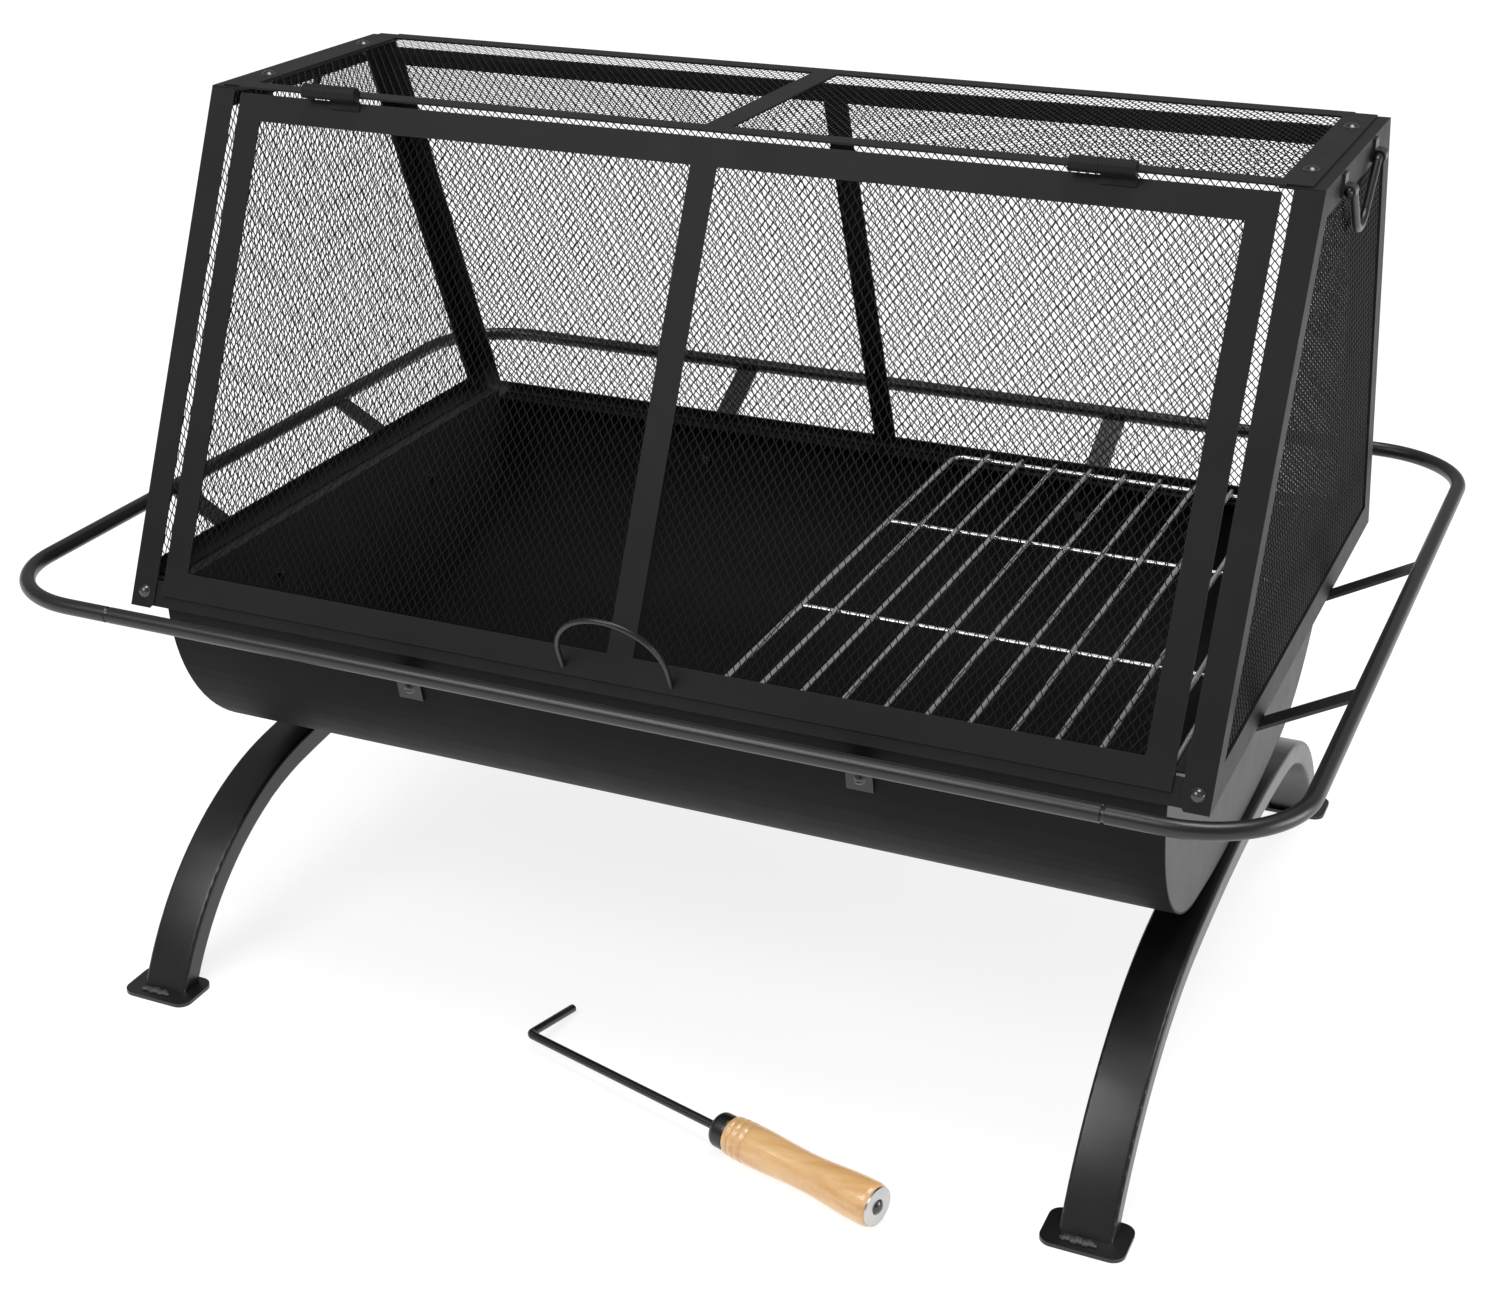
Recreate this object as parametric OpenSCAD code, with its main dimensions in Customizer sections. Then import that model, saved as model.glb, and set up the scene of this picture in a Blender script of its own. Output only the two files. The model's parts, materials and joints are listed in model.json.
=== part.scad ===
// Rectangular fire pit: a trough bowl on two arched legs with a tube rail, a lift-off spark cage
// with a swing-up door, a wire cooking grate and a poker.
// Millimetres. Origin on the ground under the middle of the bowl, X along the length,
// -Y to the front (door side), Z up.

/* [Rail] */
// Length over the rail
rail_length = 980; // [974:2:986]
// Depth over the rail
rail_depth = 752; // [748:2:756]
// Height of the rail's tube centre above the ground
rail_height = 339; // [338:0.5:340]
// Outside diameter of the rail tube
rail_tube = 12; // [11:0.5:12.5]
// Radius of the rail's corners, to the tube centre
rail_corner = 76; // [60:2:90]
// Distance from the middle to each joint of the front and back tubes
rail_joint = 371; // [360:1:385]

/* [Bowl] */
// Length of the trough
bowl_length = 780; // [778:1:782]
// Width of the trough at the rim
bowl_depth = 552; // [550:1:553]
// Height of the front and back rim above the ground
rim_height = 312; // [311.5:0.5:312]
// Radius of the trough's front and back quarters
bowl_side_radius = 150; // [148:1:152]
// Radius of the trough's shallow bottom
bowl_bottom_radius = 1100; // [1000:50:1300]
// Width of the inward ledges that carry the grate
ledge_width = 18; // [16:0.5:20]
// Thickness of the bowl and cage sheet
sheet = 1.5; // [1.4:0.1:1.5]

/* [Legs] */
// Distance between the two leg arches, centre to centre
leg_spacing = 756; // [740:2:760]
// Width of the leg tube
leg_width = 38; // [34:1:42]
// Thickness of the leg tube
leg_thickness = 20; // [18:1:22]
// Length of a foot plate across the leg
foot_length = 60; // [54:1:66]
// Width of a foot plate from front to back
foot_depth = 42; // [38:1:46]

/* [Cage] */
// Length over the end panels
cage_length = 838; // [836:1:842]
// Depth of the cage at its lower edge
cage_low_depth = 567; // [566:1:569]
// Depth of the cage at its top
cage_top_depth = 236; // [232:1:240]
// Height of the cage's lower edge
cage_low = 305; // [305:0.25:305.5]
// Height of the cage's top surface
cage_high = 672; // [668:1:676]
// Width of the frame strips
strip = 20; // [18:0.5:21]
// Centre of the strips that halve the door, back and top
centre_strip_x = -5; // [-10:1:10]
// Thickness of the mesh sheets
mesh_sheet = 1.2; // [1:0.1:1.3]

/* [Door] */
// Width of the door
door_width = 784; // [780:1:788]
// Centre of the left hinge
hinge_left_x = -309; // [-320:1:-290]
// Centre of the right hinge
hinge_right_x = 277; // [260:1:300]
// Width of the door handle between its feet
door_handle_width = 85; // [75:1:95]
// Diameter of the door handle wire
door_handle_wire = 4; // [3:0.5:5]

/* [Ring handles] */
// Distance between the arms of a ring handle at its pivot
ring_width = 90; // [88:2:94]
// Depth below the clips at which a ring handle's two arms would meet
ring_drop = 48; // [46:1:50]
// Diameter of the ring handle wire
ring_wire = 6; // [5:0.5:6]

/* [Grate] */
// Left edge of the grate
grate_left = 60; // [50:1:64]
// Right edge of the grate
grate_right = 387; // [380:1:387]
// Number of long wires between the two side edges
grate_bars = 10; // [6:1:10]
// Distance between the grate's long wires
grate_pitch = 30.5; // [29:0.5:30.5]

/* [Poker] */
// Length of the poker from its bend to the end of the grip
poker_length = 332; // [326:2:340]
// Diameter of the poker rod
poker_rod = 6.5; // [5:0.5:7]

/* [Hidden] */
$fn = 64;

touch = 0.02;            // gap left where two fixed pieces meet
bend_lap = 0.3;
black = [0.09, 0.09, 0.095];
dark = [0.13, 0.13, 0.14];
wire_grey = [0.2, 0.2, 0.21];
chrome = [0.8, 0.8, 0.82];
wood = [0.83, 0.62, 0.36];

// rail
tube_r = rail_tube / 2;
rail_x = rail_length / 2 - tube_r;
rail_y = rail_depth / 2 - tube_r;
tube_bore = tube_r - 1.2;
spigot_r = tube_bore - 0.05;
spigot_length = 24;
neck_r = tube_r - 0.9;
neck_length = 3;

// bowl
bowl_x = bowl_length / 2;
bowl_y = bowl_depth / 2;
arc_z = rim_height - 1;                            // height of the side arcs' centres
arc_y = bowl_y - bowl_side_radius;
wedge = asin(arc_y / (bowl_bottom_radius - bowl_side_radius));
bottom_centre_z = arc_z + (bowl_bottom_radius - bowl_side_radius) * cos(wedge);
bowl_low = bottom_centre_z - bowl_bottom_radius;
end_rim = rim_height + 8;                          // top of the end plates
end_half = bowl_y - ledge_width - 0.5;
end_flange_x = bowl_x + 24;

// brackets
bracket_width = 20;
bracket_sheet = 2.5;
bracket_x = 178;
bracket_y = 125;
bracket_screw_z = 276;
bracket_top_z = 286.5;
bracket_low_z = 266;
seat = 0.12;                               // gap under a flat nut on the curved wall
bracket_tilt = asin((arc_z - bracket_screw_z) / bowl_side_radius);

// legs
leg_x = leg_spacing / 2;
leg_wall = 1.5;
leg_edge = 3.2;                                    // outer radius of the tube's long edges
foot_sheet = 3;
foot_corner = 10;
leg_top_radius = 1162.7;
leg_side_radius = 247;
leg_break = 7.8;                                   // angle where the top arc meets the side arcs
leg_top_z = bowl_low - 2 * touch;
leg_top_centre = leg_top_z - leg_top_radius;
leg_side_y = (leg_top_radius - leg_side_radius) * sin(leg_break);
leg_side_z = leg_top_centre + (leg_top_radius - leg_side_radius) * cos(leg_break);
foot_y = 342;
leg_bolt_y = 40;

// cage
cage_x = cage_length / 2;
low_y = cage_low_depth / 2;
shoulder_z = cage_high - sheet;                    // underside of the top frame
top_y = cage_top_depth / 2;
lean = atan((low_y - top_y) / (shoulder_z - cage_low));
slope_length = (shoulder_z - cage_low) / cos(lean);
end_low_strip = 24;
top_flange = 30;
rest_width = 18;
top_end_x = cage_x - 9;                            // half length of the top frame
screw_x = top_end_x - 10;
screw_y = 70;
flange_screw_x = cage_x - strip / 2;
flange_screw_s = 12;

// door, in the slanted front plane: s runs up the slope, w points out of it
door_x = door_width / 2;
door_s0 = 11;
door_s1 = 397.5;
door_w = 0.5;
hinge_r = 5.4;
hinge_y = -(top_y + 7);
hinge_z = cage_high + 2.5;
hinge_pin_r = 2;
top_knuckle = 20;
door_knuckle = 24.6;
hinge_gap = 0.4;
handle_lean = 50;                                  // angle between the door and its handle
handle_rise = 14;

// ring handles
ring_z = 657;
ring_x = cage_x + 5;
ring_r = ring_wire / 2;
clip_y = 56;
clip_width = 12;
clip_bore = ring_r + 0.08;
clip_r = clip_bore + 1.5;
ring_bend = 24;
ring_corner = 6;

// grate
edge_r = 2.5;
bar_r = 2;
grate_y = bowl_y - 7.5;
edge_z = rim_height + 0.3 + edge_r;
bar_z = edge_z + edge_r + bar_r + touch;
grate_corner = 12;
cross_y = 96;

// poker
poker_x = -73.6;
poker_y = -297.2;
poker_z = 13.1;                                    // the rod leans on its tip and the grip
poker_turn = -16.6;
poker_rise = 0.7;
poker_roll = -9.3;
rod_r = poker_rod / 2;
tip_length = 60;
tip_angle = 100;                                   // between the rod and its bent tip
tip_bend = 5;
grip_length = 128;
ferrule_length = 14;
washer_sheet = 1.6;
grip_at = poker_length - grip_length - washer_sheet;
ferrule_at = grip_at - ferrule_length;
grip_front = 15.2;
grip_waist = 13.7;
grip_back = 16.2;
grip_neck = 19.6;                                  // length of the grooved collar

module rod(a, b, r) {
  d = b - a;
  translate(a) rotate([0, acos(d[2] / norm(d)), atan2(d[1], d[0])]) cylinder(h = norm(d), r = r);
}

function unit(v) = v / norm(v);
function half_angle(p, i) = acos(unit(p[i - 1] - p[i]) * unit(p[i + 1] - p[i])) / 2;
function cut_back(p, bends, i) = bends[i] == 0 ? 0 : bends[i] / tan(half_angle(p, i)) - bend_lap;

// round wire through the points p of the XY plane, rounded at each by its own bend radius;
// a bend is a hair thicker than the straights, which lap a little way into it
module bent_wire(p, bends, r) {
  for (i = [0 : len(p) - 2]) {
    along = unit(p[i + 1] - p[i]);
    a = p[i] + along * cut_back(p, bends, i);
    b = p[i + 1] - along * cut_back(p, bends, i + 1);
    rod([a[0], a[1], 0], [b[0], b[1], 0], r);
  }
  for (i = [1 : len(p) - 2]) {
    inward = unit(unit(p[i - 1] - p[i]) + unit(p[i + 1] - p[i]));
    centre = p[i] + inward * bends[i] / sin(half_angle(p, i));
    translate([centre[0], centre[1], 0])
      rotate([0, 0, atan2(-inward[1], -inward[0]) - 90 + half_angle(p, i)])
      rotate_extrude(angle = 180 - 2 * half_angle(p, i)) translate([bends[i], 0])
      circle(r = r + touch);
  }
}

// flat outline in the YZ plane, extruded along X from x0 to x1
module along_x(x0, x1) translate([x0, 0, 0]) rotate([90, 0, 90]) linear_extrude(x1 - x0) children();

// children drawn with X along the length, Y up the slope and Z out of the cage
module front_plane() translate([0, -low_y, cage_low]) rotate([90 - lean, 0, 0]) children();
module back_plane() mirror([0, 1, 0]) front_plane() children();

module plate(x0, x1, y0, y1, z0, z1) translate([x0, y0, z0]) cube([x1 - x0, y1 - y0, z1 - z0]);

module dome(r, h) {
  big = (r * r + h * h) / (2 * h);
  intersection() {
    translate([0, 0, h - big]) sphere(r = big);
    cylinder(h = h, r = r);
  }
}

// dome-headed slotted screw, head up, shank down
module screw(head_r, head_h, shank_r, shank) {
  difference() {
    dome(head_r, head_h);
    translate([-head_r, -0.5, head_h - 1]) cube([2 * head_r, 1, 2]);
  }
  translate([0, 0, -shank]) cylinder(h = shank, r = shank_r);
}

module nut(across, h, bore_r) difference() {
  cylinder(h = h, d = across / cos(30), $fn = 6);
  translate([0, 0, -1]) cylinder(h = h + 2, r = bore_r);
}

// ---- bowl ----
module bowl_section(inset) {
  z0 = arc_z;
  intersection() {
    for (s = [-1, 1]) translate([s * arc_y, z0]) circle(r = bowl_side_radius - inset);
    translate([-500, z0 - 400]) square([1000, 400]);
  }
  intersection() {
    translate([0, bottom_centre_z]) circle(r = bowl_bottom_radius - inset, $fn = 360);
    polygon([[-arc_y, z0], [arc_y, z0], [arc_y + 400 * tan(wedge), z0 - 400],
      [-arc_y - 400 * tan(wedge), z0 - 400]]);
  }
}

module bracket_holes(r) {
  for (x = [-bracket_x, bracket_x], s = [0, 180]) rotate([0, 0, s]) translate([x, 0, 0])
    wall_point() translate([0, 0, -12]) cylinder(h = 24, r = r);
  for (y = [-bracket_y, bracket_y], s = [0, 180]) rotate([0, 0, s])
    translate([bowl_x - 12, y, bracket_screw_z]) rotate([0, 90, 0]) cylinder(h = 24, r = r);
}

// point on the front wall at screw height, Z out of the wall
module wall_point() translate([0, -arc_y, arc_z]) rotate([90 + bracket_tilt, 0, 0])
  translate([0, 0, bowl_side_radius]) children();

module bowl_trough() color(black) difference() {
  along_x(-bowl_x, bowl_x) {
    difference() {
      union() {
        bowl_section(0);
        translate([-bowl_y, arc_z]) square([2 * bowl_y, rim_height - arc_z]);
      }
      bowl_section(sheet);
      translate([-bowl_y + sheet, arc_z - touch]) square([2 * (bowl_y - sheet), 10]);
    }
    for (s = [-1, 1]) translate([s * (bowl_y - ledge_width / 2), rim_height - sheet / 2])
      square([ledge_width, sheet], center = true);
  }
  bracket_holes(2.6);
  for (x = [-leg_x, leg_x], y = [-leg_bolt_y, leg_bolt_y]) translate([x, y, bowl_low - 5])
    cylinder(h = 12, r = 3.1);
}

module bowl_end() color(black) difference() {
  union() {
    along_x(bowl_x - sheet, bowl_x) {
      intersection() {
        bowl_section(sheet + touch);
        translate([-bowl_y, 0]) square([2 * bowl_y, rim_height - sheet - touch]);
      }
      translate([-end_half, arc_z - 20]) square([2 * end_half, end_rim - arc_z + 20]);
    }
    plate(bowl_x - sheet, end_flange_x, -end_half, end_half, end_rim - sheet, end_rim);
  }
  bracket_holes(2.6);
}
module bowl_end_right() bowl_end();
module bowl_end_left() mirror([1, 0, 0]) bowl_end();

// ---- rail ----
module rail_straight() color(black) translate([0, -rail_y, rail_height]) rotate([0, 90, 0])
  difference() {
    cylinder(h = 2 * rail_joint - neck_length, r = tube_r, center = true);
    cylinder(h = 2 * rail_joint, r = tube_bore, center = true);
  }
module rail_front() rail_straight();
module rail_back() mirror([0, 1, 0]) rail_straight();

module rail_bend() color(black) {
  cx = rail_x - rail_corner;
  cy = rail_y - rail_corner;
  translate([0, 0, rail_height]) {
    translate([rail_x, 0, 0]) rotate([90, 0, 0]) cylinder(h = 2 * cy, r = tube_r, center = true);
    for (s = [-1, 1]) {
      translate([cx, s * cy, 0]) rotate([0, 0, s > 0 ? 0 : -90])
        rotate_extrude(angle = 90) translate([rail_corner, 0]) circle(r = tube_r);
      rod([rail_joint + neck_length / 2, s * rail_y, 0], [cx, s * rail_y, 0], tube_r);
      rod([rail_joint - neck_length / 2 + touch, s * rail_y, 0],
        [rail_joint + neck_length, s * rail_y, 0], neck_r);
      rod([rail_joint - spigot_length, s * rail_y, 0], [rail_joint, s * rail_y, 0], spigot_r);
    }
  }
}
module rail_right() rail_bend();
module rail_left() mirror([1, 0, 0]) rail_bend();

// arm of a bracket: outward distance from the wall across, height up
module bracket_arm(wall_r) {
  out = rail_y - bowl_y;
  slope = (rail_height - 3 - bracket_top_z) / (out - 4);
  drop = bracket_sheet * sqrt(1 + slope * slope);
  polygon([[wall_r, bracket_top_z + wall_r * slope], [out - 4, rail_height - 3],
    [out - 4, rail_height - 3 - drop], [wall_r, bracket_top_z + wall_r * slope - drop]]);
}

module bracket_flat() difference() {
  rotate([90, 0, 0]) linear_extrude(bracket_width, center = true) difference() {
    union() {
      bracket_arm(touch);
      translate([touch, bracket_low_z]) square([bracket_sheet, bracket_top_z - bracket_low_z]);
    }
    translate([rail_x - bowl_x, rail_height]) circle(r = tube_r + touch);
  }
  translate([-5, 0, bracket_screw_z]) rotate([0, 90, 0]) cylinder(h = 20, r = 2.6);
}

module bracket_curved() difference() {
  along_x(-bracket_width / 2, bracket_width / 2) mirror([1, 0]) translate([bowl_y, 0])
    difference() {
      union() {
        bracket_arm(-3);
        intersection() {
          translate([-bowl_side_radius, arc_z]) circle(r = bowl_side_radius + bracket_sheet);
          translate([-20, bracket_low_z]) square([40, bracket_top_z - bracket_low_z - 1]);
        }
      }
      translate([-bowl_side_radius, arc_z]) circle(r = bowl_side_radius + touch);
      translate([rail_y - bowl_y, rail_height]) circle(r = tube_r + touch);
    }
  wall_point() translate([0, 0, -8]) cylinder(h = 20, r = 2.6);
}

module rail_brackets_front() color(black) for (x = [-bracket_x, bracket_x])
  translate([x, 0, 0]) bracket_curved();
module rail_brackets_back() mirror([0, 1, 0]) rail_brackets_front();
module rail_brackets_right() color(black) for (y = [-bracket_y, bracket_y])
  translate([bowl_x, y, 0]) bracket_flat();
module rail_brackets_left() mirror([1, 0, 0]) rail_brackets_right();

// places the children at all eight bracket screws, Z outward, origin on the wall
module at_bracket_screws() {
  for (x = [-bracket_x, bracket_x], s = [0, 180]) rotate([0, 0, s]) translate([x, 0, 0])
    wall_point() children();
  for (y = [-bracket_y, bracket_y], s = [0, 180]) rotate([0, 0, s])
    translate([bowl_x, y, bracket_screw_z]) rotate([0, 90, 0]) children();
}
module bracket_screws() color(dark) at_bracket_screws()
  translate([0, 0, bracket_sheet + 2 * touch]) screw(4.5, 2.6, 2.5, 9);
module bracket_nuts() color(dark) at_bracket_screws()
  translate([0, 0, -sheet - seat - 4]) nut(8, 4, 2.52);

// ---- legs ----
// section of the leg tube, its outer face at radius outer, all its faces moved in by inset
module leg_section(outer, inset) {
  across = leg_thickness - 2 * inset;
  wide = leg_width - 2 * inset;
  edge = leg_edge - inset;
  translate([outer - leg_thickness / 2, 0]) {
    square([across, wide - 2 * edge], center = true);
    square([across - 2 * edge, wide], center = true);
    for (x = [-1, 1], y = [-1, 1]) translate([x * (across / 2 - edge), y * (wide / 2 - edge)])
      circle(r = edge);
  }
}

// arc of leg tube in the YZ plane about the origin, its wall thicker by swell on both faces
module leg_arc(outer, from, to, swell) rotate([90, 0, 90]) rotate([0, 0, from])
  rotate_extrude(angle = to - from, $fn = 240) difference() {
    leg_section(outer, -swell);
    leg_section(outer, leg_wall + swell);
  }

// the side arcs lap a little way into the top arc, whose wall is a hair thicker
module leg() color(black) difference() {
  union() {
    translate([0, 0, leg_top_centre]) leg_arc(leg_top_radius, 90 - leg_break, 90 + leg_break, touch);
    for (side = [0, 1]) mirror([0, side, 0]) translate([0, leg_side_y, leg_side_z])
      leg_arc(leg_side_radius, 15, 90 - leg_break + 0.07, 0);
  }
  translate([-leg_width, -500, -100]) cube([2 * leg_width, 1000, 100 + foot_sheet + touch]);
  for (y = [-leg_bolt_y, leg_bolt_y]) translate([0, y, bowl_low - 10]) cylinder(h = 12, r = 3.1);
}
module leg_right() translate([leg_x, 0, 0]) leg();
module leg_left() translate([-leg_x, 0, 0]) leg();

module foot_plates() color(black) for (s = [-1, 1]) translate([0, s * foot_y, 0]) {
  dx = foot_length / 2 - foot_corner;
  dy = foot_depth / 2 - foot_corner;
  plate(-dx, dx, -foot_depth / 2, foot_depth / 2, 0, foot_sheet);
  plate(-foot_length / 2, foot_length / 2, -dy, dy, 0, foot_sheet);
  for (x = [-dx, dx], y = [-dy, dy]) translate([x, y, 0]) cylinder(h = foot_sheet, r = foot_corner);
}
module foot_plates_right() translate([leg_x, 0, 0]) foot_plates();
module foot_plates_left() translate([-leg_x, 0, 0]) foot_plates();

leg_bolt_z = bottom_centre_z - sqrt(pow(bowl_bottom_radius - sheet, 2) - leg_bolt_y * leg_bolt_y);
module leg_bolts() color(dark) for (x = [-leg_x, leg_x], y = [-leg_bolt_y, leg_bolt_y])
  translate([x, y, leg_bolt_z + 0.3]) screw(6, 3.2, 3, 13);
module leg_nuts() color(dark) for (x = [-leg_x, leg_x], y = [-leg_bolt_y, leg_bolt_y])
  translate([x, y, leg_top_z - leg_wall - 7]) nut(10, 5, 3.02);

// ---- cage ----
module trapezoid(inset_side, low, high) {
  // half depth of the slanted outline at height z, moved in by inset_side
  function half(z) = low_y - (z - cage_low) * tan(lean) - inset_side / cos(lean);
  polygon([[-half(low), low], [half(low), low], [half(high), high], [-half(high), high]]);
}

// folded end panel: window frame, slanted front and back flanges, top flange
module cage_end() color(black) difference() {
  union() {
    along_x(cage_x - sheet, cage_x) difference() {
      trapezoid(0, cage_low, shoulder_z - touch);
      trapezoid(strip, cage_low + end_low_strip, shoulder_z - strip);
    }
    for (side = [0, 1]) mirror([0, side, 0]) front_plane()
      translate([0, 0, -sheet]) linear_extrude(sheet) flange_outline();
    plate(cage_x - top_flange, cage_x, -top_y, top_y, shoulder_z - sheet, shoulder_z - touch);
  }
  for (y = [-screw_y, screw_y]) translate([screw_x, y, shoulder_z - 5])
    cylinder(h = 10, r = 2.1);
  front_plane() translate([flange_screw_x, flange_screw_s, -5]) cylinder(h = 10, r = 2.6);
}
module flange_outline() polygon([[cage_x - strip, 4], [cage_x - strip + 3, 0], [cage_x, 0],
  [cage_x, slope_length - sheet], [cage_x - strip, slope_length - sheet]]);
module cage_end_right() cage_end();
module cage_end_left() mirror([1, 0, 0]) cage_end();

module cage_mesh_end() color(wire_grey) along_x(cage_x - sheet - touch - mesh_sheet,
  cage_x - sheet - touch) trapezoid(8, cage_low + end_low_strip - 6, shoulder_z - 8);
module cage_mesh_right() cage_mesh_end();
module cage_mesh_left() mirror([1, 0, 0]) cage_mesh_end();

// strip that sits on the bowl's end flange and carries the cage
module cage_rest() color(black) plate(cage_x - sheet - rest_width, cage_x - sheet - touch,
  -end_half + 4, end_half - 4, end_rim + 0.3, end_rim + 0.3 + sheet);
module cage_rest_right() cage_rest();
module cage_rest_left() mirror([1, 0, 0]) cage_rest();

back_x = cage_x - sheet - mesh_sheet - 1;
back_drop = 10;                                    // gap left open under the top frame
module cage_back_frame() color(black) back_plane() translate([0, 0, -2 * sheet - touch])
  linear_extrude(sheet) difference() {
    translate([-back_x, 1]) square([2 * back_x, slope_length - 1 - back_drop]);
    window(back_x, 1 + strip, slope_length - back_drop - 17, strip);
  }
// two windows left and right of the centre strip
module window(half_width, low, high, side) {
  left = -half_width + side;
  right = half_width - side;
  translate([left, low]) square([centre_strip_x - strip / 2 - left, high - low]);
  translate([centre_strip_x + strip / 2, low])
    square([right - centre_strip_x - strip / 2, high - low]);
}
module cage_back_mesh() color(wire_grey) back_plane()
  translate([-back_x + 8, 12, -2 * sheet - 2 * touch - mesh_sheet])
  cube([2 * back_x - 16, slope_length - 26, mesh_sheet]);

top_front = top_y + 1;
module cage_top_frame() color(black) difference() {
  translate([0, 0, shoulder_z]) linear_extrude(sheet) difference() {
    union() {
      translate([-top_end_x, -top_y + 2]) square([2 * top_end_x, 2 * top_y - 4]);
      translate([-top_end_x + 16, -top_front]) square([2 * top_end_x - 32, 2 * top_front]);
    }
    window(top_end_x, -top_y + 16, top_y - 16, strip + 2);
  }
  for (x = [-screw_x, screw_x], y = [-screw_y, screw_y]) translate([x, y, shoulder_z - 5])
    cylinder(h = 10, r = 2.1);
}
mesh_top_x = cage_x - top_flange - 1;
module cage_top_mesh() color(wire_grey) plate(-mesh_top_x, mesh_top_x, -top_y + 9,
  top_y - 9, shoulder_z - mesh_sheet - touch, shoulder_z - touch);

module cage_front_rail() color(black) difference() {
  front_plane() translate([-back_x, 2, -2 * sheet - touch]) cube([2 * back_x, strip, sheet]);
  for (s = [-1, 1]) front_plane() translate([s * flange_screw_x, flange_screw_s, -5])
    cylinder(h = 10, r = 2.6);
}

module cage_top_screws() color(dark) for (x = [-screw_x, screw_x], y = [-screw_y, screw_y])
  translate([x, y, cage_high + touch]) screw(5.4, 2.6, 2, 9);
module cage_flange_screws() color(dark) for (s = [-1, 1])
  front_plane() translate([s * flange_screw_x, flange_screw_s, touch]) screw(5, 3, 2.5, 8);
module cage_nuts() color(dark) {
  for (x = [-screw_x, screw_x], y = [-screw_y, screw_y])
    translate([x, y, shoulder_z - sheet - touch - 3]) nut(7, 3, 2.02);
  for (s = [-1, 1]) front_plane()
    translate([s * flange_screw_x, flange_screw_s, -2 * sheet - 2 * touch - 3.4]) nut(8, 3.4, 2.52);
}

// ---- ring handles ----
module ring_clip() {
  difference() {
    union() {
      translate([ring_x, 0, ring_z]) rotate([90, 0, 0])
        cylinder(h = clip_width, r = clip_r, center = true);
      plate(cage_x + touch, ring_x, -clip_width / 2, clip_width / 2, ring_z + clip_r - 2,
        ring_z + clip_r);
      plate(cage_x + touch, cage_x + 2, -clip_width / 2, clip_width / 2, ring_z - 4,
        ring_z + clip_r + 7);
    }
    translate([ring_x, 0, ring_z]) rotate([90, 0, 0])
      cylinder(h = clip_width + 2, r = clip_bore, center = true);
    translate([cage_x + 2, -clip_width, ring_z - clip_r - 1])
      cube([ring_x - cage_x - 2, 2 * clip_width, clip_r - 1]);
  }
}
module ring_clips_right() color(black) for (y = [-clip_y, clip_y]) translate([0, y, 0]) ring_clip();
module ring_clips_left() mirror([1, 0, 0]) ring_clips_right();

ring_arm = ring_width / 2;
ring_end = clip_y + clip_width / 2 + 1;
module ring_handle() color(black) translate([ring_x, 0, ring_z]) rotate([90, 0, 90])
  bent_wire([[-ring_end, 0], [-ring_arm, 0], [0, -ring_drop], [ring_arm, 0], [ring_end, 0]],
    [0, ring_corner, ring_bend, ring_corner, 0], ring_r);
module ring_handle_right() ring_handle();
module ring_handle_left() mirror([1, 0, 0]) ring_handle();

// ---- hinges: the left knuckle of each is on the top, the right one on the door ----
module at_hinges() for (x = [hinge_left_x, hinge_right_x]) translate([x, hinge_y, hinge_z]) children();

module hinge_top_knuckles() color(black) at_hinges() {
  x0 = -(top_knuckle + door_knuckle + hinge_gap) / 2;
  difference() {
    union() {
      translate([x0, 0, 0]) rotate([0, 90, 0]) cylinder(h = top_knuckle, r = hinge_r);
      plate(x0, x0 + top_knuckle, 0, 16, cage_high - hinge_z + touch,
        cage_high - hinge_z + touch + sheet);
    }
    translate([x0 - 1, 0, 0]) rotate([0, 90, 0]) cylinder(h = top_knuckle + 2,
      r = hinge_pin_r + touch / 2);
  }
}

module hinge_pins() color(dark) at_hinges() {
  x0 = -(top_knuckle + door_knuckle + hinge_gap) / 2;
  translate([x0, 0, 0]) rotate([0, 90, 0])
    cylinder(h = top_knuckle + hinge_gap + door_knuckle - 2, r = hinge_pin_r);
  translate([x0 - touch, 0, 0]) rotate([0, -90, 0]) dome(hinge_r - 1, 1.4);
}

// position of the hinge axis in the slanted plane
hinge_s = (hinge_y + low_y) * sin(lean) + (hinge_z - cage_low) * cos(lean);
hinge_w = -(hinge_y + low_y) * cos(lean) + (hinge_z - cage_low) * sin(lean);
module hinge_door_knuckles() color(black) front_plane()
  for (x = [hinge_left_x, hinge_right_x]) translate([x + top_knuckle + hinge_gap
    - (top_knuckle + door_knuckle + hinge_gap) / 2, 0, 0]) difference() {
    union() {
      translate([0, hinge_s, hinge_w]) rotate([0, 90, 0]) cylinder(h = door_knuckle, r = hinge_r);
      translate([0, door_s1 - 6, door_w + touch]) cube([door_knuckle, hinge_s - door_s1 + 2.8, 1.5]);
      translate([0, hinge_s - 5, door_w + touch]) cube([door_knuckle, 1.8, hinge_w - 2]);
    }
    translate([-1, hinge_s, hinge_w]) rotate([0, 90, 0])
      cylinder(h = door_knuckle - 0.4, r = hinge_pin_r + 0.06);
  }

// ---- door ----
module door_frame() color(black) front_plane() translate([0, 0, door_w - sheet])
  linear_extrude(sheet) difference() {
    translate([-door_x, door_s0]) square([2 * door_x, door_s1 - door_s0]);
    window(door_x, door_s0 + strip, door_s1 - strip, strip);
  }
module door_mesh() color(wire_grey) front_plane()
  translate([-door_x + 8, door_s0 + 14, door_w - sheet - touch - mesh_sheet])
  cube([2 * door_x - 16, door_s1 - door_s0 - 22, mesh_sheet]);

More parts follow.
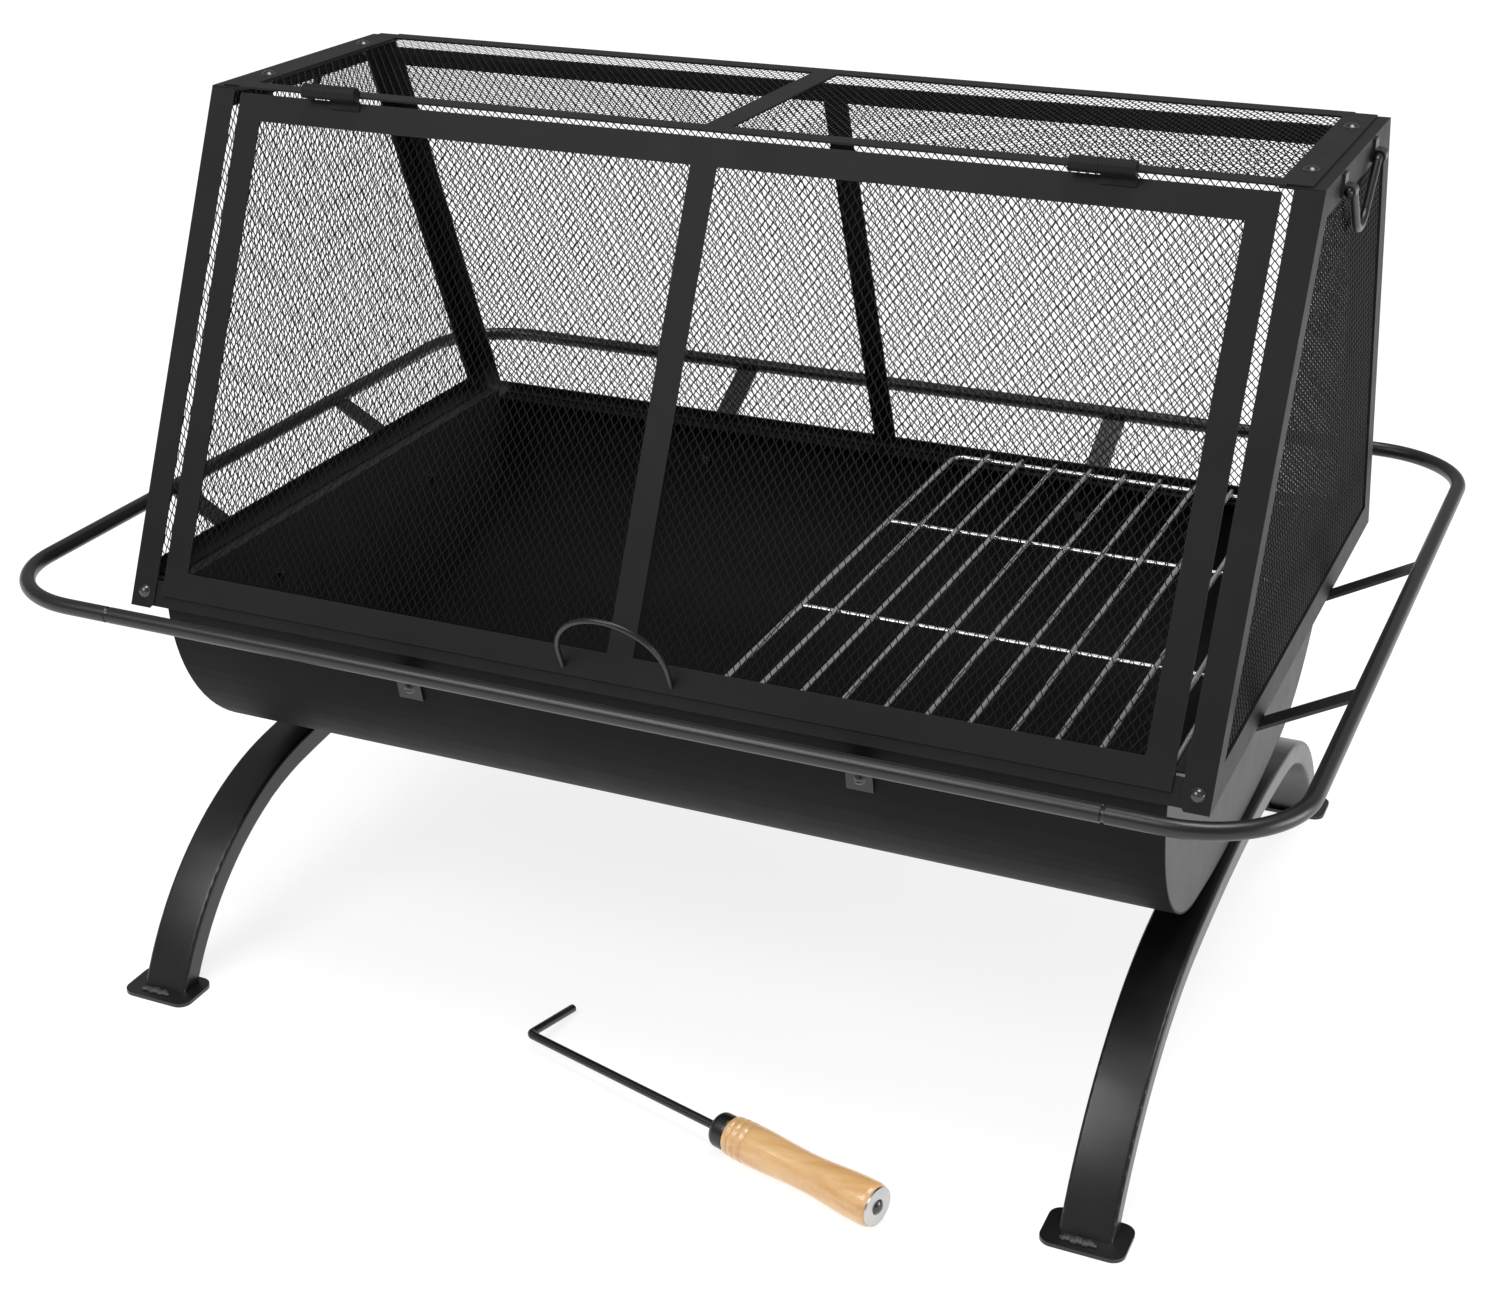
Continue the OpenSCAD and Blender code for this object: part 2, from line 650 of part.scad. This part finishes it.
module door_handle() color(black) front_plane()
  translate([centre_strip_x, door_s0 + 6, door_w + touch]) rotate([handle_lean, 0, 0]) {
    r = door_handle_wire / 2;
    half = door_handle_width / 2;
    difference() {
      union() {
        for (s = [-1, 1]) rod([s * half, -4, 0], [s * half, handle_rise, 0], r);
        translate([0, handle_rise, 0]) rotate_extrude(angle = 180) translate([half, 0]) circle(r = r);
      }
      rotate([-handle_lean, 0, 0]) translate([-100, -50, -20]) cube([200, 100, 20]);
    }
  }

// ---- grate ----
module grate_edge_wire() color(chrome) translate([0, 0, edge_z]) {
  x0 = grate_left + edge_r + grate_corner;
  x1 = grate_right - edge_r - grate_corner;
  y1 = grate_y - grate_corner;
  for (s = [-1, 1]) rod([x0, s * grate_y, 0], [x1, s * grate_y, 0], edge_r);
  for (x = [x0 - grate_corner, x1 + grate_corner]) rod([x, -y1, 0], [x, y1, 0], edge_r);
  for (c = [[x1, y1, 0], [x0, y1, 90], [x0, -y1, 180], [x1, -y1, 270]])
    translate([c[0], c[1], 0]) rotate([0, 0, c[2]]) rotate_extrude(angle = 90)
      translate([grate_corner, 0]) circle(r = edge_r);
}
module grate_bars_long() color(chrome) for (i = [1 : grate_bars])
  rod([grate_left + edge_r + i * grate_pitch, -grate_y - 1, bar_z],
    [grate_left + edge_r + i * grate_pitch, grate_y + 1, bar_z], bar_r);
module grate_cross_wires() color(chrome) for (y = [-cross_y, cross_y])
  rod([grate_left + 2 * edge_r + touch, y, bar_z - 2 * bar_r - touch],
    [grate_right - 2 * edge_r - touch, y, bar_z - 2 * bar_r - touch], bar_r);

// ---- poker: drawn along X with its bend at the origin ----
module poker_place() translate([poker_x, poker_y, poker_z])
  rotate([0, -poker_rise, poker_turn]) rotate([poker_roll, 0, 0]) children();

module poker_shaft() color(black) poker_place()
  bent_wire([tip_length * [cos(tip_angle), sin(tip_angle)], [0, 0], [grip_at + 6, 0]],
    [0, tip_bend, 0], rod_r);

module poker_ferrule() color(dark) poker_place() translate([ferrule_at, 0, 0]) rotate([0, 90, 0])
  rotate_extrude() polygon(concat([[rod_r + touch, 0]],
    [for (a = [0 : 15 : 90]) [8 + 5.2 * sin(a), 5.2 - 5.2 * cos(a)]],
    [[13.2, ferrule_length - 2], [12.7, ferrule_length - touch],
      [rod_r + touch, ferrule_length - touch]]));

// radius of the turned grip at t, from 0 behind the collar to 1 near the end
function grip_radius(t) = t < 0.46
  ? grip_waist + (grip_front - grip_waist) * (1 + cos(180 * t / 0.46)) / 2
  : grip_waist + (grip_back - grip_waist) * (1 - cos(180 * min(1, (t - 0.46) / 0.48))) / 2;
module poker_grip() color(wood) poker_place() translate([grip_at, 0, 0]) rotate([0, 90, 0])
  difference() {
    rotate_extrude() polygon(concat([[0, 0], [13.2, 0], [14.4, 1.4], [14.7, 4.6], [13.3, 5.6], [14.9, 6.6],
      [15.1, 10.2], [13.7, 11.2], [15.2, 12.2], [15.2, 16.4], [13.9, 17.6]],
      [for (i = [0 : 20]) [grip_radius(i / 20), grip_neck + i * (grip_length - 4 - grip_neck) / 20]],
      [[15.7, grip_length - 1.5], [14.8, grip_length], [0, grip_length]]));
    translate([0, 0, -1]) cylinder(h = 8, r = rod_r + touch);
    translate([0, 0, grip_length - 12]) cylinder(h = 20, r = 2.6);
  }
module poker_washer() color(chrome) poker_place() translate([grip_at + grip_length + touch, 0, 0])
  rotate([0, 90, 0]) difference() {
    cylinder(h = washer_sheet - 2 * touch, r = 14.5);
    translate([0, 0, -1]) cylinder(h = 4, r = 2.6);
  }
module poker_nut() color(dark) poker_place() translate([poker_length, 0, 0]) rotate([0, 90, 0]) {
  dome(5.8, 2.8);
  translate([0, 0, -13]) cylinder(h = 13, r = 2.5);
}

bowl_trough();
bowl_end_left();
bowl_end_right();
rail_front();
rail_back();
rail_left();
rail_right();
rail_brackets_front();
rail_brackets_back();
rail_brackets_left();
rail_brackets_right();
bracket_screws();
bracket_nuts();
leg_left();
leg_right();
foot_plates_left();
foot_plates_right();
leg_bolts();
leg_nuts();
cage_end_left();
cage_end_right();
cage_mesh_left();
cage_mesh_right();
cage_rest_left();
cage_rest_right();
cage_back_frame();
cage_back_mesh();
cage_top_frame();
cage_top_mesh();
cage_front_rail();
cage_top_screws();
cage_flange_screws();
cage_nuts();
ring_clips_left();
ring_clips_right();
ring_handle_left();
ring_handle_right();
hinge_top_knuckles();
hinge_pins();
door_frame();
door_mesh();
door_handle();
hinge_door_knuckles();
grate_edge_wire();
grate_bars_long();
grate_cross_wires();
poker_shaft();
poker_ferrule();
poker_grip();
poker_washer();
poker_nut();
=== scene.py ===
"""Rectangular fire pit with a spark cage, a wire grate and a poker, dressed for a studio render."""

import json
import math

import bmesh
import bpy
from mathutils import Matrix, Vector

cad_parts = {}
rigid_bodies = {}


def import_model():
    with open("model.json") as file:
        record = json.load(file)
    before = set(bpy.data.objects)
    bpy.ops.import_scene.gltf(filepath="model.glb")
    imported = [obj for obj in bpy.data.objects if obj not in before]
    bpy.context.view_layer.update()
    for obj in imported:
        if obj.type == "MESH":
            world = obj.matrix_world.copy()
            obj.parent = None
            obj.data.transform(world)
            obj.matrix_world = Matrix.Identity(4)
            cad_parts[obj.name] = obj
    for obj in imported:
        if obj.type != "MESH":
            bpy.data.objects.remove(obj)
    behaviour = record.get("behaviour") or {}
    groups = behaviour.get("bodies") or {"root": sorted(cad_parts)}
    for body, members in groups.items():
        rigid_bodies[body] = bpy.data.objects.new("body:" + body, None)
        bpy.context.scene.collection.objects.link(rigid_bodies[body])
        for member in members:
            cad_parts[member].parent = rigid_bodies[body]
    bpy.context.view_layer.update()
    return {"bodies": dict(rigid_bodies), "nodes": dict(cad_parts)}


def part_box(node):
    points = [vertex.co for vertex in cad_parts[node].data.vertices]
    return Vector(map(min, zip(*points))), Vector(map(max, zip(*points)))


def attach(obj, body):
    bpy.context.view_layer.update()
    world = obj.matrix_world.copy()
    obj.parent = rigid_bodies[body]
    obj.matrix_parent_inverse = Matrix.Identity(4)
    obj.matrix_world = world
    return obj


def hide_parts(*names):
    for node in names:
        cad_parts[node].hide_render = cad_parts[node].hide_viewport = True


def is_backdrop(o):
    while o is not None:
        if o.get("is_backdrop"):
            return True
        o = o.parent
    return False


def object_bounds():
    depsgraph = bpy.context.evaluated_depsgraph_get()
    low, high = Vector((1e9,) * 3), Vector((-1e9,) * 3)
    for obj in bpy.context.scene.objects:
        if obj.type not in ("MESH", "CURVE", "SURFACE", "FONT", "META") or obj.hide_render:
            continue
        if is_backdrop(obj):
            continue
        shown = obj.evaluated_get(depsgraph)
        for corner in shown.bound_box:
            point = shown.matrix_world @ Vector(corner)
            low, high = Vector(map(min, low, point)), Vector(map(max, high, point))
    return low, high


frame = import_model()
NODES = frame["nodes"]


# ---------------------------------------------------------------- materials
class Shader:
    """A Principled material and a few helpers that wire its nodes."""

    def __init__(self, name, colour, rough, metal=0.0, coat=0.0, coat_rough=0.1):
        self.mat = bpy.data.materials.new(name)
        self.mat.use_nodes = True
        self.tree = self.mat.node_tree
        self.bsdf = self.tree.nodes["Principled BSDF"]
        self.set("Base Color", (*colour, 1.0))
        self.set("Roughness", rough)
        self.set("Metallic", metal)
        self.set("Coat Weight", coat)
        self.set("Coat Roughness", coat_rough)
        self.coords = self.tree.nodes.new("ShaderNodeTexCoord")

    def set(self, socket, value):
        self.bsdf.inputs[socket].default_value = value

    def link(self, a, b):
        self.tree.links.new(a, b)

    def mapped(self, scale=(1, 1, 1), turn=(0, 0, 0)):
        node = self.tree.nodes.new("ShaderNodeMapping")
        node.inputs["Scale"].default_value = scale
        node.inputs["Rotation"].default_value = turn
        self.link(self.coords.outputs["Object"], node.inputs["Vector"])
        return node.outputs["Vector"]

    def noise(self, scale, detail=3.0, rough=0.5, vector=None, distortion=0.0):
        node = self.tree.nodes.new("ShaderNodeTexNoise")
        node.inputs["Scale"].default_value = scale
        node.inputs["Detail"].default_value = detail
        node.inputs["Roughness"].default_value = rough
        node.inputs["Distortion"].default_value = distortion
        self.link(vector or self.coords.outputs["Object"], node.inputs["Vector"])
        return node.outputs["Fac"]

    def ramp(self, fac, stops):
        node = self.tree.nodes.new("ShaderNodeValToRGB")
        ramp = node.color_ramp
        while len(ramp.elements) < len(stops):
            ramp.elements.new(0.5)
        for element, (place, value) in zip(ramp.elements, stops):
            element.position = place
            element.color = (*value, 1.0)
        self.link(fac, node.inputs["Fac"])
        return node.outputs["Color"]

    def range(self, fac, low, high, a=0.0, b=1.0):
        node = self.tree.nodes.new("ShaderNodeMapRange")
        for socket, value in zip(("From Min", "From Max", "To Min", "To Max"), (a, b, low, high)):
            node.inputs[socket].default_value = value
        self.link(fac, node.inputs["Value"])
        return node.outputs["Result"]

    def mix(self, fac, a, b):
        node = self.tree.nodes.new("ShaderNodeMix")
        node.data_type = "RGBA"
        self.link(fac, node.inputs["Factor"])
        for socket, value in ((6, a), (7, b)):
            if isinstance(value, tuple):
                node.inputs[socket].default_value = (*value, 1.0)
            else:
                self.link(value, node.inputs[socket])
        return node.outputs[2]

    def edges(self, radius):
        """0 on flat stretches, 1 on edges sharper than the bevel radius."""
        bevel = self.tree.nodes.new("ShaderNodeBevel")
        bevel.samples = 4
        bevel.inputs["Radius"].default_value = radius
        geometry = self.tree.nodes.new("ShaderNodeNewGeometry")
        dot = self.tree.nodes.new("ShaderNodeVectorMath")
        dot.operation = "DOT_PRODUCT"
        self.link(bevel.outputs["Normal"], dot.inputs[0])
        self.link(geometry.outputs["Normal"], dot.inputs[1])
        return self.range(dot.outputs["Value"], 1.0, 0.0, 0.78, 0.98)

    def bump(self, height, strength, distance):
        node = self.tree.nodes.new("ShaderNodeBump")
        node.inputs["Strength"].default_value = strength
        node.inputs["Distance"].default_value = distance
        self.link(height, node.inputs["Height"])
        self.link(node.outputs["Normal"], self.bsdf.inputs["Normal"])


def powder_coat(name, colour, worn, rough, grain=0.35, shine=0.35):
    """Fine-grained powder coat, in the worn colour where the edges are rubbed, if one is given."""
    s = Shader(name, colour, rough)
    s.set("Specular IOR Level", shine)
    blotch = s.noise(9.0, 4.0, 0.6)
    darker, lighter = (tuple(share * c for c in colour) for share in (0.86, 1.14))
    tint = s.ramp(blotch, [(0.3, darker), (0.7, lighter)])
    s.link(s.mix(s.edges(0.0009), tint, worn) if worn else tint, s.bsdf.inputs["Base Color"])
    s.link(s.range(s.noise(38.0, 3.0), rough - 0.05, rough + 0.06), s.bsdf.inputs["Roughness"])
    s.bump(s.noise(900.0, 2.0, 0.6), grain, 0.00025)
    return s.mat


def plated(name, dull, bright):
    """Bright plating with a little haze, from the duller to the brighter colour."""
    s = Shader(name, bright, 0.3, metal=1.0)
    s.link(s.range(s.noise(120.0, 3.0), 0.22, 0.38), s.bsdf.inputs["Roughness"])
    cloud = s.noise(30.0, 2.0)
    s.link(s.ramp(cloud, [(0.3, dull), (0.75, bright)]), s.bsdf.inputs["Base Color"])
    s.bump(s.noise(700.0, 2.0), 0.08, 0.0002)
    return s.mat


def varnished_wood():
    """Light turned hardwood under clear varnish, grain running along the handle."""
    s = Shader("varnished_wood", (0.8, 0.5, 0.24), 0.3, coat=0.7, coat_rough=0.1)
    turned = s.mapped((2.0, 16.0, 16.0), (0, 0, math.radians(16.6)))
    grain = s.noise(7.0, 4.0, 0.55, turned, 0.5)
    fine = s.noise(48.0, 4.0, 0.7, turned)
    base = s.ramp(grain, [(0.3, (0.70, 0.385, 0.150)), (0.5, (0.80, 0.485, 0.215)),
                          (0.7, (0.86, 0.56, 0.275))])
    streak = s.ramp(fine, [(0.45, (0, 0, 0)), (0.65, (1, 1, 1))])
    s.link(s.mix(s.range(streak, 0.0, 0.16), base, (0.55, 0.29, 0.11)), s.bsdf.inputs["Base Color"])
    s.bump(fine, 0.06, 0.0002)
    return s.mat


BLACK = (0.0130, 0.0126, 0.0124)
MATS = {
    "frame": powder_coat("satin_black_coat", BLACK, (0.028, 0.027, 0.026), 0.5, 0.35, 0.16),
    "gloss": powder_coat("gloss_black_coat", (0.006, 0.006, 0.006), None, 0.33, 0.12, 0.6),
    "bowl": powder_coat("heatproof_black", (0.0085, 0.0083, 0.0082), (0.02, 0.019, 0.019), 0.55, 0.4, 0.08),
    # painted light: the bowl's end plates get a lighter copy of the trough's heatproof black, standing in
    # for the light that falls on them from the side
    "plate": powder_coat("heatproof_black_end_painted_light", (0.0210, 0.0192, 0.0180), (0.04, 0.04, 0.04), 0.5, 0.4, 0.5),
    "mesh": powder_coat("painted_mesh", (0.0055, 0.0055, 0.0055), None, 0.5, 0.2, 0.16),
    "fixing": powder_coat("blackened_fixings", (0.012, 0.012, 0.012), (0.12, 0.12, 0.12), 0.2, 0.1, 0.9),
    "chrome": plated("chrome_plating", (0.88, 0.88, 0.9), (0.98, 0.98, 1.0)),
    "washer": plated("zinc_plating", (0.5, 0.5, 0.49), (0.62, 0.61, 0.6)),
    "weld": powder_coat("painted_weld", (0.05, 0.05, 0.052), (0.10, 0.10, 0.10), 0.42, 0.6, 0.5),
    "wood": varnished_wood(),
}
# the first row whose beginnings fit a node's name gives its material; the rest are the frame's
KINDS = (
    ("plate", ("bowl_end",)),
    ("fixing", ("leg_bolts", "leg_nuts", "bracket_screws", "bracket_nuts", "hinge_pins",
                "cage_top_screws", "cage_flange_screws", "cage_nuts", "poker_nut")),
    ("gloss", ("rail", "leg", "foot", "ring", "door_handle", "poker_shaft", "poker_ferrule")),
    ("bowl", ("bowl",)),
    ("chrome", ("grate",)),
    ("washer", ("poker_washer",)),
    ("wood", ("poker_grip",)),
)

for name, node in NODES.items():
    kind = next((k for k, beginnings in KINDS if name.startswith(beginnings)), "frame")
    node.data.materials.clear()
    node.data.materials.append(MATS[kind])

# ---------------------------------------------------------------- rounded pieces, smoothly shaded
ROUNDED = ("rail_front", "rail_back", "rail_left", "rail_right", "leg_left", "leg_right", "bowl_trough",
           "ring_handle", "ring_clips", "door_handle", "grate_", "poker_", "hinge_")
SHARP_ANGLE = math.radians(34)     # edges sharper than this stay crisp
WELD_DISTANCE = 1e-6               # points closer than this are one
BODY_OF = {empty: body for body, empty in frame["bodies"].items()}


def smooth_copy(name, node):
    """Stand in for a node with a smoothly shaded copy of it."""
    holder = node
    while holder not in BODY_OF:
        holder = holder.parent
    mesh = node.data.copy()
    shape = bmesh.new()
    shape.from_mesh(mesh)
    bmesh.ops.remove_doubles(shape, verts=shape.verts, dist=WELD_DISTANCE)
    shape.to_mesh(mesh)
    shape.free()
    mesh.shade_smooth()
    mesh.set_sharp_from_angle(angle=SHARP_ANGLE)
    obj = bpy.data.objects.new(f"{name}_smooth", mesh)
    bpy.context.collection.objects.link(obj)
    obj.matrix_world = node.matrix_world
    even = obj.modifiers.new("even_shading", "WEIGHTED_NORMAL")
    even.weight = 100
    even.keep_sharp = True
    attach(obj, BODY_OF[holder])
    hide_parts(name)


for name, node in NODES.items():
    if name.startswith(ROUNDED):
        smooth_copy(name, node)

# ---------------------------------------------------------------- expanded metal
LOW_Y, LOW_Z = 0.2835, 0.305       # half depth and height of the cage's lower edge
TOP_Y, TOP_Z = 0.118, 0.6705       # half depth and height of its upper edge
LEAN = math.atan2(LOW_Y - TOP_Y, TOP_Z - LOW_Z)
CELL, LONG = 0.0070, 0.0100        # short and long way of a diamond
STRAND, SHEET = 0.0008, 0.0007     # strand width and sheet thickness


def piece(name, verts, faces, material, body, slot_name, node=None, smooth=False):
    mesh = bpy.data.meshes.new(name)
    mesh.from_pydata(verts, [], faces)
    mesh.update()
    mesh.materials.append(material)
    if smooth:
        mesh.shade_smooth()
    obj = bpy.data.objects.new(name, mesh)
    bpy.context.collection.objects.link(obj)
    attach(obj, body)
    if node:
        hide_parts(node)
    return obj


def lattice(place, across, span, thick=SHEET):
    """Vertices and faces of one expanded sheet.

    across is (low, high) along the short way, span(a) gives (low, high) along the long way
    at a, thick is the sheet's thickness, and place(a, b, c) turns a point of the sheet into a
    point of the object.
    """
    verts, faces = [], []
    half = CELL / 2
    columns = int((across[1] - across[0]) / half)
    start = (across[0] + across[1]) / 2 - columns * half / 2
    for k in range(columns):
        left = start + k * half
        low, high = span(left + half / 2)
        first, last = math.ceil(low / (LONG / 2)), math.floor(high / (LONG / 2))
        ring = None
        for j in range(first, last + 1):
            on_right = (k + j) % 2 == 1
            a = left + (half - STRAND * 0.42 if on_right else STRAND * 0.42)
            b = j * LONG / 2
            tilt = thick * (0.42 if on_right else -0.42)
            base = len(verts)
            for da, dc in ((-STRAND / 2, -thick / 2), (STRAND / 2, -thick / 2 + 0.0002),
                           (STRAND / 2, thick / 2), (-STRAND / 2, thick / 2 - 0.0002)):
                verts.append(place(a + da, b, dc + tilt * 0.5))
            if ring is not None:
                for i in range(4):
                    n = (i + 1) % 4
                    faces.append((ring + i, ring + n, base + n, base + i))
            else:
                faces.append((base + 3, base + 2, base + 1, base))
            ring = base
        if ring is not None:
            faces.append((ring, ring + 1, ring + 2, ring + 3))
    return verts, faces


def slanted(side, w):
    """Point of the front (side -1) or back (side 1) slanted sheet, w metres out of it."""
    def place(a, s, c):
        out = w + c
        y = LOW_Y - s * math.sin(LEAN) + out * math.cos(LEAN)
        return (a, side * y, LOW_Z + s * math.cos(LEAN) + out * math.sin(LEAN))
    return place


low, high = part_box("door_mesh")
piece("door_mesh_lattice", *lattice(slanted(-1, -0.0016), (low.x, high.x), lambda a: (0.025, 0.3865)),
      MATS["mesh"], "door", "mesh_black", "door_mesh")
low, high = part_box("cage_back_mesh")
piece("back_mesh_lattice", *lattice(slanted(1, -0.0037), (low.x, high.x), lambda a: (0.012, 0.386)),
      MATS["mesh"], "cage", "mesh_black", "cage_back_mesh")
low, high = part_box("cage_top_mesh")
piece("top_mesh_lattice", *lattice(lambda a, b, c: (a, b, 0.6699 + c), (low.x, high.x),
                                   lambda a: (-0.109, 0.109)),
      MATS["mesh"], "cage", "mesh_black", "cage_top_mesh")


END_EDGE = 0.008                    # how far the end sheets stay inside the slanted outline
END_LOW, END_HIGH = 0.323, 0.6625   # heights of their lower and upper edges
END_THICK = 0.0009


def end_span(y):
    """Lowest and highest point of an end sheet at y."""
    slope_z = LOW_Z + (LOW_Y - END_EDGE / math.cos(LEAN) - abs(y)) / math.tan(LEAN)
    return END_LOW, min(END_HIGH, slope_z)


for side, name in ((-1, "left"), (1, "right")):
    node = f"cage_mesh_{name}"
    low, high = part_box(node)
    x = (low.x + high.x) / 2
    piece(f"end_mesh_{name}_lattice", *lattice(lambda a, b, c: (x + side * c, a, b),
                                               (low.y, high.y), end_span, END_THICK),
          MATS["mesh"], "cage", "mesh_black", node)

# ---------------------------------------------------------------- weld beads at the feet
def bead(name, start, end, radius, body):
    """Rippled bead of weld lying between two points, its ends drawn in."""
    start, end = Vector(start), Vector(end)
    along = (end - start).normalized()
    side = along.cross(Vector((0, 0, 1)))
    verts, faces = [], []
    rings, around = 30, 12
    for i in range(rings + 1):
        t = i / rings
        full = radius * (0.25 + 0.75 * math.sqrt(max(0.0, math.sin(math.pi * t))))
        size = full * (0.86 + 0.14 * math.cos(i * 1.9)) * (1 + 0.12 * math.sin(i * 0.6))
        middle = start.lerp(end, t) + side * (0.0006 * math.sin(i * 0.7))
        for k in range(around):
            angle = math.tau * k / around
            verts.append(middle + side * (size * math.cos(angle) * 1.35)
                         + Vector((0, 0, size * math.sin(angle) * 0.8)))
        if i:
            low_ring = (i - 1) * around
            for k in range(around):
                n = (k + 1) % around
                faces.append((low_ring + k, low_ring + n, low_ring + around + n, low_ring + around + k))
    faces.append(tuple(reversed(range(around))))
    faces.append(tuple(range(rings * around, (rings + 1) * around)))
    return piece(name, verts, faces, MATS["weld"], body, "frame_black", smooth=True)


LEG_X, WELD_Z, WELD_R = 0.378, 0.0036, 0.0030
WELD_Y = (0.3538, 0.3540)           # how far out the bead's two ends are
for side, x in (("left", -LEG_X), ("right", LEG_X)):
    for end, sign in (("front", -1), ("back", 1)):
        bead(f"weld_{end}_{side}", (x - 0.016, sign * WELD_Y[0], WELD_Z),
             (x + 0.010, sign * WELD_Y[1], WELD_Z), WELD_R, "fire_bowl")

# ---------------------------------------------------------------- studio
floor = bpy.data.meshes.new("floor")
FLOOR_HALF, FLOOR_Z = 40, -0.0002   # just below the feet
CORNERS = ((-1, -1), (1, -1), (1, 1), (-1, 1))
floor.from_pydata([(x * FLOOR_HALF, y * FLOOR_HALF, FLOOR_Z) for x, y in CORNERS], [], [(0, 1, 2, 3)])
floor_obj = bpy.data.objects.new("studio_floor", floor)
bpy.context.collection.objects.link(floor_obj)
floor_obj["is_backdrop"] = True
pale = bpy.data.materials.new("studio_white")
pale.use_nodes = True
shade = pale.node_tree.nodes["Principled BSDF"]
shade.inputs["Base Color"].default_value = (0.3, 0.3, 0.3, 1)
shade.inputs["Specular IOR Level"].default_value = 0
shade.inputs["Emission Color"].default_value = (1, 1, 1, 1)
shade.inputs["Emission Strength"].default_value = 0.82
floor.materials.append(pale)

world = bpy.data.worlds.new("studio")
bpy.context.scene.world = world
world.use_nodes = True
world.node_tree.nodes["Background"].inputs["Color"].default_value = (1, 1, 1, 1)
world.node_tree.nodes["Background"].inputs["Strength"].default_value = 0.3
bpy.context.scene.view_settings.view_transform = "Standard"


# a wide, high light for the floor and the tops
def sun_light(name, direction, energy, angle):
    data = bpy.data.lights.new(name, "SUN")
    data.energy, data.angle = energy, angle
    obj = bpy.data.objects.new(name, data)
    bpy.context.collection.objects.link(obj)
    obj.rotation_euler = (-Vector(direction)).to_track_quat("-Z", "Y").to_euler()


# a softbox that faces its target
def area_light(name, place, target, size, energy):
    data = bpy.data.lights.new(name, "AREA")
    data.shape = "RECTANGLE"
    data.size, data.size_y = size
    data.energy = energy
    obj = bpy.data.objects.new(name, data)
    bpy.context.collection.objects.link(obj)
    obj.location = place
    obj.rotation_euler = (Vector(target) - Vector(place)).to_track_quat("-Z", "Y").to_euler()


sun_light("overhead", (0.1, 0.1, 1), 1.6, math.radians(30))
area_light("key", (-0.9, -1.9, 2.4), (0, -0.2, 0.1), (1.5, 1.3), 34)
area_light("side", (2.4, 0.2, 0.6), (0.4, 0, 0.25), (1.4, 0.9), 22)

# ---------------------------------------------------------------- camera
camera = bpy.data.cameras.new("camera")
camera.sensor_fit = "HORIZONTAL"
camera.sensor_width = 36.0
camera.lens = 57.02
camera.shift_x = 0.0582
camera.shift_y = 0.0473
camera.clip_start, camera.clip_end = 0.05, 100
camera_obj = bpy.data.objects.new("camera", camera)
bpy.context.collection.objects.link(camera_obj)
YAW, PITCH, ROLL = 0.4373, -0.4534, -0.0060
ahead = Vector((-math.sin(YAW) * math.cos(PITCH), math.cos(YAW) * math.cos(PITCH), math.sin(PITCH)))
right = Vector((math.cos(YAW), math.sin(YAW), 0))
up = right.cross(ahead)
right, up = (math.cos(ROLL) * right + math.sin(ROLL) * up, math.cos(ROLL) * up - math.sin(ROLL) * right)
camera_obj.matrix_world = Matrix.Translation((0.6682, -1.6402, 1.0298)) @ Matrix(
    (right, up, -ahead)).transposed().to_4x4()
bpy.context.scene.camera = camera_obj

low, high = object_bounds()
